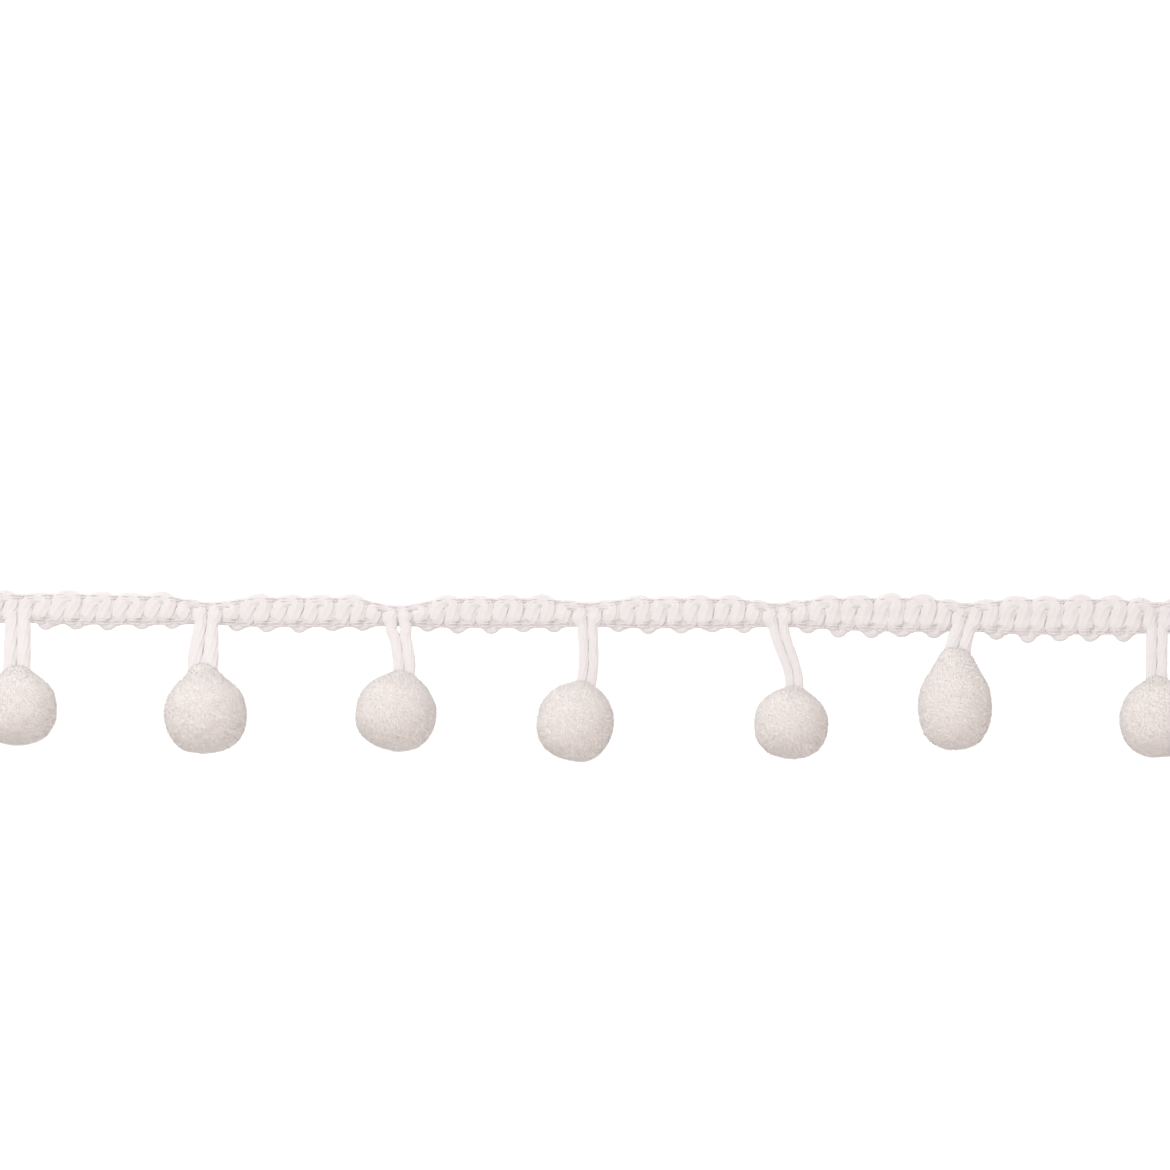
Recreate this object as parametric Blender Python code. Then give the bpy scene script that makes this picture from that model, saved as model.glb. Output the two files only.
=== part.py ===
"""Pompom fringe trim: a straight length, lying face up on a flat surface.

A crocheted heading runs along X. Its filling yarn crosses the heading in even ribs and
turns at each edge. At every station two of the crossings drop out of the lower edge as a
long loop, and the loop is tied round the middle of a ball of cut yarn.

X runs along the heading, the pompoms lie towards -Y, +Z is up, and everything rests on
Z = 0. The origin is the middle of the heading's flat back.
"""

import math
import random
from collections import namedtuple

import bmesh
import bpy
from mathutils import Vector

MM = 0.001

# Heading: the filling yarn crosses it once a rib, and turns at an edge once in two ribs
RIB_PITCH = 2.025 * MM
TURN_PITCH = 2 * RIB_PITCH
TURNS_PER_REPEAT = 6
HEADING_TURNS = 40
HEADING_LENGTH = HEADING_TURNS * TURN_PITCH
STATION_PITCH = TURNS_PER_REPEAT * TURN_PITCH
HEADING_THICKNESS = 1.9 * MM
RIB_HEIGHT = 0.42 * MM
RIB_LEAN = 0.10
RIB_ROUNDNESS = 0.7
TURN_ROUNDNESS = 0.6
TURN_REACH = 0.62 * MM
STEPS_PER_RIB = 4

# Heading at a station: thin under the two dropped crossings, and drawn in at its edges
WAIST_THICKNESS = 0.8 * MM
WAIST_REACH = 1.05 * RIB_PITCH
WAIST_RAMP = 0.25 * RIB_PITCH
WAIST_SPREAD = 2.7 * RIB_PITCH
PLAIN_EDGE_REACH = 1.3 * RIB_PITCH
LOWER_WAIST_DEPTH = 0.35 * MM
WAIST_FULL_FROM = 0.84

# Loop: one yarn that comes off the upper edge, drops, turns inside the pompom and goes back up
LEG_HALF_WIDTH = 0.64 * MM
LEG_HALF_THICKNESS = 0.48 * MM
LEG_SIDES = 8
LEG_STEPS = 9
BEND_STEPS = 5
SEAT_GAP = 0.30 * MM
UPPER_TURN_RADIUS = 0.62 * MM
UPPER_TURN_STEPS = 3
HALF_GAP_AT_POMPOM = 0.74 * MM
LOOP_LEAVES_HEADING = 2.0 * MM
LOOP_PULL = 0.4
LOOP_HEIGHT_ON_HEADING = WAIST_THICKNESS + SEAT_GAP + LEG_HALF_THICKNESS

# Pompom: a core with the roots of the locks, and locks that widen towards the outside
CORE_SHARE = 0.60
REST_SHARE = 0.93
NECK_DIP = math.radians(17)
LOCKS_ROUND = 3
LOCKS_ALONG = 2
NECK_OPENING = 1.5
CORNER_UNEVENNESS = 0.05
LOCK_UNEVENNESS = 0.015

# End of a lock, from its edge to its crown.
#   inset: share of the way from the lock's corner to its middle, reach: share of the radius
LockRing = namedtuple("LockRing", "inset reach")
LOCK_RINGS = (LockRing(0.11, 0.97), LockRing(0.45, 1.01))
LOCK_CROWN_REACH = 1.03

# Course of the heading, which lies a little unevenly.
#   x: place along it, middle: Y of its middle line, width: over the edge turns, all in millimetres
Course = namedtuple("Course", "x middle width")
HEADING_COURSE = (
    Course(-81.0, 0.62, 5.15),
    Course(-45.0, 0.30, 5.00),
    Course(-10.0, 0.06, 4.90),
    Course(25.0, 0.06, 5.00),
    Course(60.0, -0.42, 5.65),
    Course(81.0, -0.52, 5.60),
)

# Section of the heading, once round from the lower back edge over the face and back.
#   across: share of the half width, height: share of the thickness,
#   turned: share of the edge turns' rhythm against the ribs', raised: share of the rib height
HeadingPoint = namedtuple("HeadingPoint", "across height turned raised")
HEADING_SECTION = (
    HeadingPoint(-0.86, 0.00, 1.0, 0.0),
    HeadingPoint(-1.00, 0.36, 1.0, 0.0),
    HeadingPoint(-0.87, 0.88, 0.9, 0.8),
    HeadingPoint(-0.62, 0.84, 0.3, 0.7),
    HeadingPoint(-0.32, 1.00, 0.0, 1.0),
    HeadingPoint(0.00, 0.93, 0.0, 0.9),
    HeadingPoint(0.32, 1.00, 0.0, 1.0),
    HeadingPoint(0.62, 0.84, 0.3, 0.7),
    HeadingPoint(0.87, 0.88, 0.9, 0.8),
    HeadingPoint(1.00, 0.36, 1.0, 0.0),
    HeadingPoint(0.86, 0.00, 1.0, 0.0),
)

# Pompoms from left to right, in millimetres, and along X from their own station.
#   root: where the loop leaves the heading, tie: where it enters the pompom,
#   spread: half the distance between its legs on the way, centre: middle of the ball,
#   drop: that middle below Y = 0, half_width and half_length: the ball's size across and down,
#   stretch: how far its top is drawn up the loop, pinch: how far that top is narrowed,
#   waist: how far the heading's upper edge is drawn in
Pompom = namedtuple(
    "Pompom",
    "station root tie spread centre drop half_width half_length stretch pinch waist",
)
POMPOMS = (
    Pompom(-3, 0.3, 0.1, 1.10, 0.4, 11.6, 5.1, 5.2, 0.12, 0.12, 0.5),
    Pompom(-2, 0.1, -0.5, 1.12, 0.1, 12.4, 5.4, 5.3, 0.36, 0.30, 1.2),
    Pompom(-1, 0.1, 1.1, 0.88, 0.0, 12.3, 5.3, 5.0, 0.14, 0.14, 1.6),
    Pompom(0, 0.1, 0.0, 0.76, -1.6, 13.7, 5.1, 5.2, 0.02, 0.02, 1.0),
    Pompom(1, 0.3, 2.2, 0.78, 1.6, 13.8, 4.9, 4.7, 0.04, 0.08, 0.9),
    Pompom(2, -0.1, -1.6, 0.95, -1.8, 11.6, 4.9, 5.9, 0.42, 0.30, 0.8),
    Pompom(3, -0.1, -0.3, 1.05, -0.3, 13.1, 5.1, 5.2, 0.08, 0.08, 0.4),
)

YARN_COLOUR = (0.86, 0.79, 0.76, 1.0)
LOOP_COLOUR = (0.84, 0.77, 0.74, 1.0)
PILE_COLOUR = (0.85, 0.77, 0.73, 1.0)


def clear_scene():
    """An empty scene to build in."""
    for thing in list(bpy.data.objects):
        bpy.data.objects.remove(thing, do_unlink=True)


def yarn_material(name, colour, roughness):
    """A matt textile material of its own for one piece."""
    material = bpy.data.materials.new(name)
    material.use_nodes = True
    shader = material.node_tree.nodes["Principled BSDF"]
    shader.inputs["Base Color"].default_value = colour
    shader.inputs["Roughness"].default_value = roughness
    shader.inputs["Metallic"].default_value = 0.0
    return material


def place(bm, name, material):
    """Turn a finished mesh into a named object with faces that look outwards."""
    bmesh.ops.recalc_face_normals(bm, faces=bm.faces[:])
    mesh = bpy.data.meshes.new(name)
    bm.to_mesh(mesh)
    bm.free()
    mesh.materials.append(material)
    mesh.shade_smooth()
    piece = bpy.data.objects.new(name, mesh)
    bpy.context.scene.collection.objects.link(piece)
    return piece


def skin(bm, rings):
    """Close a row of equal rings of points into a tube with a face at each end."""
    count = len(rings[0])
    for ring, following in zip(rings, rings[1:]):
        for i in range(count):
            j = (i + 1) % count
            bm.faces.new((ring[i], ring[j], following[j], following[i]))
    bm.faces.new(rings[0])
    bm.faces.new(rings[-1])


def eased(share):
    """0 to 1 with a gentle start and a gentle end, held beyond them."""
    held = min(max(share, 0.0), 1.0)
    return 0.5 - 0.5 * math.cos(math.pi * held)


# Heading

def hump(x, pitch, roundness):
    """A row of round humps with sharp valleys between, 1 on a hump and 0 in a valley."""
    return abs(math.cos(math.pi * x / pitch)) ** roundness


def course(x):
    """Y of the heading's middle line at a place along it, and its width there."""
    rows = HEADING_COURSE
    for row, following in zip(rows, rows[1:]):
        if x <= following.x * MM or following is rows[-1]:
            share = eased((x / MM - row.x) / (following.x - row.x))
            middle = row.middle + (following.middle - row.middle) * share
            width = row.width + (following.width - row.width) * share
            return middle * MM, width * MM


def nearest_pompom(x):
    """The nearest station's row, and the distance along the heading to it."""
    row = min(POMPOMS, key=lambda pompom: abs(x - pompom.station * STATION_PITCH))
    return row, abs(x - row.station * STATION_PITCH)


def edge_turn(x, side):
    """Rhythm of the turns at one edge (-1 lower, 1 upper): 1 on a turn, 0 between two."""
    shift = 0.5 * TURN_PITCH if side > 0 else 0.0
    return hump(x - shift, TURN_PITCH, TURN_ROUNDNESS)


def half_width(x, side):
    """Distance from the middle line to one edge, with the edge turns and the waists."""
    row, distance = nearest_pompom(x)
    depth = row.waist * MM if side > 0 else LOWER_WAIST_DEPTH
    drawn_in = depth * (1.0 - eased(distance / WAIST_SPREAD))
    scallops = eased(distance / PLAIN_EDGE_REACH)
    valley = TURN_REACH * (1.0 - edge_turn(x, side)) * scallops
    return 0.5 * course(x)[1] - drawn_in - valley


def face_height(x, point):
    """Z of one point of the section: ribs in the middle, edge turns at the sides."""
    rib = hump(x - 0.5 * RIB_PITCH, RIB_PITCH, RIB_ROUNDNESS)
    turn = edge_turn(x, point.across)
    rhythm = rib + (turn - rib) * point.turned
    full = HEADING_THICKNESS * point.height - RIB_HEIGHT * point.raised * (1.0 - rhythm)
    thin = WAIST_THICKNESS * min(point.height / WAIST_FULL_FROM, 1.0)
    rise = min(max((nearest_pompom(x)[1] - WAIST_REACH) / WAIST_RAMP, 0.0), 1.0)
    return thin + (full - thin) * rise


def build_heading(material):
    """The crocheted strip, as one closed tube of sections from cut end to cut end."""
    bm = bmesh.new()
    columns = HEADING_TURNS * 2 * STEPS_PER_RIB
    rings = []
    for column in range(columns + 1):
        x = HEADING_LENGTH * (column / columns - 0.5)
        middle = course(x)[0]
        ring = []
        for point in HEADING_SECTION:
            y = half_width(x, point.across) * point.across
            ring.append(bm.verts.new((x + RIB_LEAN * y, middle + y, face_height(x, point))))
        rings.append(ring)
    skin(bm, rings)
    return place(bm, "heading", material)


# Pompoms

def pompom_frame(row):
    """Centre of a ball and its three directions: towards the loop, sideways, upwards."""
    station = row.station * STATION_PITCH
    rest = REST_SHARE * row.half_width * MM
    centre = Vector((station + row.centre * MM, -row.drop * MM, rest))
    reach = row.half_length * (1.0 + row.stretch) * MM
    tie = Vector((station + row.tie * MM, centre.y + reach, rest))
    level = (tie - centre).normalized()
    neck = level * math.cos(NECK_DIP) - Vector((0, 0, math.sin(NECK_DIP)))
    sideways = Vector((level.y, -level.x, 0.0))
    upwards = sideways.cross(neck)
    return centre, neck, sideways, upwards


def pompom_point(row, frame, direction, reach):
    """A point of a ball along a direction from its core, drawn up the loop above the middle.

    Where it would pass through the floor, it stays as much shorter along the same direction.
    """
    centre, neck, sideways, upwards = frame
    along = direction.z * reach
    risen = max(along, 0.0) ** 2
    narrow = 1.0 - row.pinch * risen
    point = centre.copy()
    point += neck * (along * (1.0 + row.stretch * risen) * row.half_length * MM)
    point += sideways * (direction.x * reach * narrow * row.half_width * MM)
    point += upwards * (direction.y * reach * narrow * row.half_width * MM)
    if point.z < 0.0:
        point = centre.lerp(point, centre.z / (centre.z - point.z))
    return point


def lock_corners(seed):
    """Corner directions of the locks: a block's grid of squares, blown up into a ball."""
    shaker = random.Random(seed)
    across = [i - 0.5 * LOCKS_ROUND for i in range(LOCKS_ROUND + 1)]
    along = [i - 0.5 * LOCKS_ALONG for i in range(LOCKS_ALONG + 1)]
    corners = {}
    for i, x in enumerate(across):
        for j, y in enumerate(across):
            for k, z in enumerate(along):
                inside = 0 < i < LOCKS_ROUND and 0 < j < LOCKS_ROUND
                if inside and 0 < k < LOCKS_ALONG:
                    continue
                if inside and k == LOCKS_ALONG:
                    corners[i, j, k] = Vector((x * NECK_OPENING, y, z)).normalized()
                    continue
                shake = [shaker.uniform(-1, 1) * CORNER_UNEVENNESS for _ in range(3)]
                direction = Vector((x, y, z)).normalized() + Vector(shake)
                corners[i, j, k] = direction.normalized()
    return corners


def lock_cells():
    """The four corners of every lock, as places in the block's grid."""
    last = LOCKS_ROUND
    high = LOCKS_ALONG
    cells = []
    for i in range(last):
        for j in range(last):
            cells.append(((i, j, high), (i + 1, j, high), (i + 1, j + 1, high), (i, j + 1, high)))
            cells.append(((i, j, 0), (i, j + 1, 0), (i + 1, j + 1, 0), (i + 1, j, 0)))
    for i in range(last):
        for k in range(high):
            cells.append(((i, 0, k), (i + 1, 0, k), (i + 1, 0, k + 1), (i, 0, k + 1)))
            cells.append(((i, last, k), (i, last, k + 1), (i + 1, last, k + 1), (i + 1, last, k)))
            cells.append(((0, i, k), (0, i, k + 1), (0, i + 1, k + 1), (0, i + 1, k)))
            cells.append(((last, i, k), (last, i + 1, k), (last, i + 1, k + 1), (last, i, k + 1)))
    return cells


def is_neck(cell):
    """Whether a place in the grid is the open one, where the loop goes in."""
    middle = LOCKS_ROUND // 2
    return cell[0] == (middle, middle, LOCKS_ALONG) and cell[2][2] == LOCKS_ALONG


def build_pompom(row, name, material):
    """A ball of cut yarn: four-sided locks that stand apart but for their roots in the core."""
    frame = pompom_frame(row)
    shaker = random.Random(name)
    corners = lock_corners(name)
    bm = bmesh.new()
    roots = {}
    for spot, direction in corners.items():
        roots[spot] = bm.verts.new(pompom_point(row, frame, direction, CORE_SHARE))
    for cell in lock_cells():
        inner = [roots[spot] for spot in cell]
        if is_neck(cell):
            bm.faces.new(inner)
            continue
        centre = sum((corners[spot] for spot in cell), Vector()).normalized()
        length = 1.0 + shaker.uniform(-1, 1) * LOCK_UNEVENNESS
        for lock_ring in LOCK_RINGS:
            outer = []
            for spot in cell:
                direction = corners[spot].lerp(centre, lock_ring.inset).normalized()
                point = pompom_point(row, frame, direction, length * lock_ring.reach)
                outer.append(bm.verts.new(point))
            for i in range(4):
                j = (i + 1) % 4
                bm.faces.new((inner[i], inner[j], outer[j], outer[i]))
            inner = outer
        crown = bm.verts.new(pompom_point(row, frame, centre, length * LOCK_CROWN_REACH))
        for i in range(4):
            bm.faces.new((inner[i], inner[(i + 1) % 4], crown))
    return place(bm, name, material)


# Loops

def curve_point(ends, pulls, t):
    """A point of the smooth curve between two ends, pulled out of each in its direction."""
    a = ends[0].lerp(pulls[0], t)
    b = pulls[0].lerp(pulls[1], t)
    c = pulls[1].lerp(ends[1], t)
    return a.lerp(b, t).lerp(b.lerp(c, t), t)


def neck_floor(row):
    """Height of the core above the ball's middle, where the loop goes in between the locks."""
    frame = pompom_frame(row)
    direction = Vector((0.5 * NECK_OPENING, 0.5, 0.5 * LOCKS_ALONG)).normalized()
    corner = pompom_point(row, frame, direction, CORE_SHARE)
    return (corner - frame[0]).dot(frame[1])


def loop_course(row):
    """Middle line between a loop's legs, from the heading's face into the pompom.

    Each entry is a point, and half the distance between the legs there.
    """
    centre, neck, _, _ = pompom_frame(row)
    station = row.station * STATION_PITCH
    middle = course(station)[0]
    top = middle + half_width(station, 1) - LEG_HALF_WIDTH - UPPER_TURN_RADIUS
    start = Vector((station, top, LOOP_HEIGHT_ON_HEADING))
    leave_x = station + row.root * MM
    leave = Vector((leave_x, middle - LOOP_LEAVES_HEADING, LOOP_HEIGHT_ON_HEADING))
    bend = SEAT_GAP + LEG_HALF_WIDTH + HALF_GAP_AT_POMPOM
    end = centre + neck * (neck_floor(row) + bend)
    pull = LOOP_PULL * (end - leave).length
    pulls = (leave + Vector((0, -pull, 0)), end + neck * pull)
    entries = [(start, 0.5 * RIB_PITCH)]
    for step in range(LEG_STEPS):
        t = step / (LEG_STEPS - 1)
        at_top = 0.5 * RIB_PITCH + (row.spread * MM - 0.5 * RIB_PITCH) * eased(2.0 * t)
        half_gap = at_top + (HALF_GAP_AT_POMPOM - row.spread * MM) * eased(2.0 * t - 1.0)
        entries.append((curve_point((leave, end), pulls, t), half_gap))
    return entries


def loop_path(row):
    """Points of the yarn's middle, and the direction its flat side faces at each of them."""
    entries = loop_course(row)
    legs = []
    for i, (point, half_gap) in enumerate(entries):
        before = entries[max(i - 1, 0)][0]
        after = entries[min(i + 1, len(entries) - 1)][0]
        ahead = (after - before).normalized()
        level = Vector((0, 0, 1)).cross(ahead).normalized()
        legs.append((point, half_gap, ahead, level, ahead.cross(level)))
    sides = {}
    for side in (-1, 1):
        point, half_gap, ahead, level, face = legs[0]
        path = []
        for step in range(UPPER_TURN_STEPS, 0, -1):
            angle = 0.5 * math.pi * step / UPPER_TURN_STEPS
            out = half_gap + UPPER_TURN_RADIUS * (1.0 - math.cos(angle))
            back = UPPER_TURN_RADIUS * math.sin(angle)
            path.append((point + level * (side * out) - ahead * back, face))
        for point, half_gap, ahead, level, face in legs:
            path.append((point + level * (side * half_gap), face))
        sides[side] = path
    point, half_gap, ahead, level, face = legs[-1]
    bend = []
    for step in range(1, BEND_STEPS):
        angle = math.pi * step / BEND_STEPS
        out = ahead * math.sin(angle) - level * math.cos(angle)
        bend.append((point + out * half_gap, face))
    return sides[-1] + bend + sides[1][::-1]


def build_loop(row, name, material):
    """One yarn down the left leg, round the bend inside the pompom and up the right leg."""
    path = loop_path(row)
    bm = bmesh.new()
    rings = []
    for i, (point, face) in enumerate(path):
        ahead = path[min(i + 1, len(path) - 1)][0] - path[max(i - 1, 0)][0]
        out = ahead.cross(face).normalized()
        ring = []
        for side in range(LEG_SIDES):
            angle = 2.0 * math.pi * (side + 0.5) / LEG_SIDES
            spot = point + out * (LEG_HALF_WIDTH * math.cos(angle))
            spot += face * (LEG_HALF_THICKNESS * math.sin(angle))
            ring.append(bm.verts.new(spot))
        rings.append(ring)
    skin(bm, rings)
    return place(bm, name, material)


def main():
    clear_scene()
    build_heading(yarn_material("heading yarn", YARN_COLOUR, 0.85))
    for number, row in enumerate(POMPOMS, start=1):
        build_loop(row, f"loop_{number}", yarn_material(f"loop yarn {number}", LOOP_COLOUR, 0.85))
        build_pompom(row, f"pompom_{number}", yarn_material(f"pile {number}", PILE_COLOUR, 0.95))


main()
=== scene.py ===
# %% [markdown]
# # A pompom trim, dressed
#
# The trim is a narrow crocheted heading with balls of cut yarn hanging from it. A soft filling
# yarn runs back and forth across the heading, fine chain stitches hold it, and at every station
# the same yarn drops out in a long loop that is tied round a pompom. The solids of the frame have
# the true sizes, so this script only puts yarn, stitches and pile where those solids are.

# %% Load the frame
import math
from collections import namedtuple

import bpy
from mathutils import Matrix, Vector


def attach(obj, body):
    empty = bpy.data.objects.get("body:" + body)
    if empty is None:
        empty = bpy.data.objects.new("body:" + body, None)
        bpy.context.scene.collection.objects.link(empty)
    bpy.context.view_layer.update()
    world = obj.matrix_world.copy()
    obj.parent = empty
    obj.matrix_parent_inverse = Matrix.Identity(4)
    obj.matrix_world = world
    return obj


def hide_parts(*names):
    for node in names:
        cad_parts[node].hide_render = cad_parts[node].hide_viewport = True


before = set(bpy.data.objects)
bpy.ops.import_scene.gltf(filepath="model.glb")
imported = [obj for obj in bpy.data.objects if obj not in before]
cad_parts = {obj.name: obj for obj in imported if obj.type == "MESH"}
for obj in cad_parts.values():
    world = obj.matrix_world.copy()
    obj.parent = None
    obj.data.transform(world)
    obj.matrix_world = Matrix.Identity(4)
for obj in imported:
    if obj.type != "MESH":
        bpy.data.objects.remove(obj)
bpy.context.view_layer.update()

MM = 0.001

# %% [markdown]
# ## Camera
#
# A trim like this is shown from straight above. A short lens close by would make the pompoms,
# which stand higher than the heading, lean outwards in the picture, so a long lens stands far
# away instead.

# %% Camera
PICTURE_WIDTH = 150 * MM
PICTURE_CENTRE = Vector((-0.3 * MM, 3.85 * MM, 0))
SENSOR_MM = 36.0
LENS_MM = 150.0


def clear_selection():
    """Object mode, with nothing selected, ready for the next operator."""
    if bpy.context.object and bpy.context.object.mode != "OBJECT":
        bpy.ops.object.mode_set(mode="OBJECT")
    bpy.ops.object.select_all(action="DESELECT")


clear_selection()
distance = PICTURE_WIDTH * LENS_MM / SENSOR_MM
bpy.ops.object.camera_add(location=PICTURE_CENTRE + Vector((0, 0, distance)), rotation=(0, 0, 0))
camera = bpy.context.object
camera.data.lens = LENS_MM
camera.data.sensor_width = SENSOR_MM
camera.data.clip_start = 0.01
bpy.context.scene.camera = camera
print("camera stands", round(distance, 3), "m above the table")

# %% [markdown]
# ## Table
#
# The trim lies on a plain white table. Lamps alone would leave the grooves and undersides of white
# yarn dark, so the table glows a little, as a light table does. Where the camera sees it, it glows
# more, so that it reads as plain white and the pale yarn still stands out.

# %% Floor
FLOOR_SIZE = 4.0
FLOOR_DROP = 0.05 * MM
TABLE_WHITE = (0.80, 0.80, 0.80)
FLOOR_GLOW = 0.32
EXTRA_GLOW = 0.39

clear_selection()
bpy.ops.mesh.primitive_plane_add(size=FLOOR_SIZE, location=(0, 0, -FLOOR_DROP))
floor = bpy.context.object
floor.name = "floor"
bpy.ops.object.transform_apply(location=True)
paper = bpy.data.materials.new("white table")
paper.use_nodes = True
paper_nodes, paper_links = paper.node_tree.nodes, paper.node_tree.links
paper_shader = paper_nodes["Principled BSDF"]
paper_shader.inputs["Base Color"].default_value = TABLE_WHITE + (1,)
paper_shader.inputs["Roughness"].default_value = 0.9
paper_shader.inputs["Emission Color"].default_value = (1, 1, 1, 1)
seen = paper_nodes.new("ShaderNodeLightPath")
glow = paper_nodes.new("ShaderNodeMath")
glow.operation = "MULTIPLY_ADD"
glow.inputs[1].default_value = EXTRA_GLOW
glow.inputs[2].default_value = FLOOR_GLOW
paper_links.new(seen.outputs["Is Camera Ray"], glow.inputs[0])
paper_links.new(glow.outputs[0], paper_shader.inputs["Emission Strength"])
floor.data.materials.append(paper)
print("table glows", FLOOR_GLOW, "and", FLOOR_GLOW + EXTRA_GLOW, "to the camera")

# %% [markdown]
# ## Light
#
# One soft lamp at the upper left gives the pompoms their round shade, darkest at the lower right.
# A bright sky all round keeps the shadows faint. A small hard lamp would show every fibre, but it
# would also draw shadows that such a trim doesn't have on a light table.

# %% Light
LAMP_PLACE = Vector((-0.20, 0.31, 0.39))
LAMP_SIZE = 0.34
LAMP_WATTS = 0.90
LAMP_COLOUR = (0.92, 0.985, 1.0)
SKY_STRENGTH = 0.86
SKY_COLOUR = (1.0, 0.924, 0.890)

clear_selection()
bpy.ops.object.light_add(type="AREA", location=LAMP_PLACE)
lamp = bpy.context.object
lamp.name = "soft lamp"
lamp.data.shape = "DISK"
lamp.data.size = LAMP_SIZE
lamp.data.energy = LAMP_WATTS
lamp.data.color = LAMP_COLOUR
lamp.rotation_euler = (-LAMP_PLACE).to_track_quat("-Z", "Y").to_euler()
sky = bpy.data.worlds.new("studio")
sky.use_nodes = True
sky.node_tree.nodes["Background"].inputs["Color"].default_value = SKY_COLOUR + (1,)
sky.node_tree.nodes["Background"].inputs["Strength"].default_value = SKY_STRENGTH
bpy.context.scene.world = sky
bpy.context.scene.view_settings.view_transform = "Standard"
print("lamp of", LAMP_WATTS, "W,", round(LAMP_PLACE.length, 2), "m away")

# %% [markdown]
# ## Effects that the materials share
#
# All of the trim is the same off-white yarn. What differs is how it catches light: the filling
# yarn shows fine filaments along its length, the pompoms are a dense velvet. Two small node groups
# hold what the materials share, a soft unevenness of colour and a fine lengthwise grain, and each
# material sets its own strength.

# %% An empty node group
def new_group(name, inputs, outputs):
    """An empty shader node group with named sockets: (name, socket type, default)."""
    group = bpy.data.node_groups.new(name, "ShaderNodeTree")
    for label, kind, value in inputs:
        socket = group.interface.new_socket(label, in_out="INPUT", socket_type=kind)
        socket.default_value = value
    for label, kind in outputs:
        group.interface.new_socket(label, in_out="OUTPUT", socket_type=kind)
    nodes = group.nodes
    return group, nodes.new("NodeGroupInput"), nodes.new("NodeGroupOutput")


def noise(group, detail):
    """A noise node of a group, with its amount of detail."""
    made = group.nodes.new("ShaderNodeTexNoise")
    made.inputs["Detail"].default_value = detail
    return made


def product(group, first, second):
    """The output of a node that multiplies two outputs."""
    made = group.nodes.new("ShaderNodeMath")
    made.operation = "MULTIPLY"
    group.links.new(first, made.inputs[0])
    group.links.new(second, made.inputs[1])
    return made.outputs[0]


# %% Mottle
def build_mottle():
    """Soft unevenness: slightly darker and warmer clouds, and tiny specks of shade."""
    inputs = (
        ("Colour", "NodeSocketColor", (0.8, 0.8, 0.8, 1)),
        ("Shade", "NodeSocketColor", (0.7, 0.7, 0.7, 1)),
        ("Cloud Scale", "NodeSocketFloat", 300.0),
        ("Speck Scale", "NodeSocketFloat", 5000.0),
        ("Amount", "NodeSocketFloat", 0.5),
    )
    group, start, end = new_group("mottle", inputs, (("Colour", "NodeSocketColor"),))
    links = group.links
    place = group.nodes.new("ShaderNodeTexCoord")
    clouds, specks = noise(group, 3.0), noise(group, 2.0)
    for pattern, scale in ((clouds, "Cloud Scale"), (specks, "Speck Scale")):
        links.new(place.outputs["Object"], pattern.inputs["Vector"])
        links.new(start.outputs[scale], pattern.inputs["Scale"])
    both = product(group, clouds.outputs["Fac"], specks.outputs["Fac"])
    mix = group.nodes.new("ShaderNodeMix")
    mix.data_type = "RGBA"
    links.new(product(group, both, start.outputs["Amount"]), mix.inputs["Factor"])
    links.new(start.outputs["Colour"], mix.inputs["A"])
    links.new(start.outputs["Shade"], mix.inputs["B"])
    links.new(mix.outputs["Result"], end.inputs["Colour"])
    return group


MOTTLE = build_mottle()
print("node group:", MOTTLE.name)

# %% Filament grain
def build_grain():
    """Filaments: a noise that is long in one direction and fine across it."""
    inputs = (
        ("Across", "NodeSocketVector", (9000.0, 900.0, 9000.0)),
        ("Strength", "NodeSocketFloat", 1.0),
        ("Follows Yarn", "NodeSocketFloat", 0.0),
    )
    group, start, end = new_group("filament grain", inputs, (("Height", "NodeSocketFloat"),))
    nodes, links = group.nodes, group.links
    place = nodes.new("ShaderNodeTexCoord")
    along = nodes.new("ShaderNodeAttribute")
    along.attribute_name = "along_yarn"
    chosen = nodes.new("ShaderNodeMix")
    chosen.data_type = "VECTOR"
    stretch = nodes.new("ShaderNodeVectorMath")
    stretch.operation = "MULTIPLY"
    lines = noise(group, 2.0)
    lines.inputs["Scale"].default_value = 1.0
    links.new(start.outputs["Follows Yarn"], chosen.inputs["Factor"])
    links.new(place.outputs["Object"], chosen.inputs[4])
    links.new(along.outputs["Vector"], chosen.inputs[5])
    links.new(chosen.outputs[1], stretch.inputs[0])
    links.new(start.outputs["Across"], stretch.inputs[1])
    links.new(stretch.outputs["Vector"], lines.inputs["Vector"])
    height = product(group, lines.outputs["Fac"], start.outputs["Strength"])
    links.new(height, end.inputs["Height"])
    return group


GRAIN = build_grain()
print("node group:", GRAIN.name)

# %% [markdown]
# ## Finishes
#
# Each finish is one row: its colour and the shade of its clouds, how large and strong the clouds
# are, whether its grain follows the yarn and how fine it is, how high the grain stands, and its
# roughness and sheen. The pile has full sheen, because the sides of upright fibres catch the light
# and keep the rim of a ball pale. The root, the ball's body under the fibres, is a little darker
# than the pile: that is painted shade for the depth between the fibres.

# %% Materials
Finish = namedtuple("Finish", "name colour shade cloud amount follows across bump roughness sheen")
FINISHES = (
    Finish("filling yarn", (0.86, 0.843, 0.851), (0.77, 0.733, 0.731), 500, 0.55, 1.0,
           (500, 6000, 6000), 0.00006, 0.90, 0.04),
    Finish("stitch thread", (0.89, 0.868, 0.872), (0.81, 0.773, 0.768), 700, 0.45, 0.0,
           (2500, 9000, 9000), 0.00003, 0.80, 0.04),
    Finish("pompom pile", (0.98, 0.935, 0.915), (0.95, 0.885, 0.85), 260, 0.50, 0.0,
           (6000, 6000, 6000), 0.00003, 0.95, 1.00),
    # The root is a little darker than the pile: painted shade for the depth between the fibres.
    Finish("pompom root painted shade", (0.96, 0.91, 0.885), (0.91, 0.84, 0.80), 260, 0.60, 0.0,
           (6500, 6500, 6500), 0.00012, 0.95, 0.10),
)
SHEEN_ROUGHNESS = 0.75
SPECULAR_LEVEL = 0.15


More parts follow.
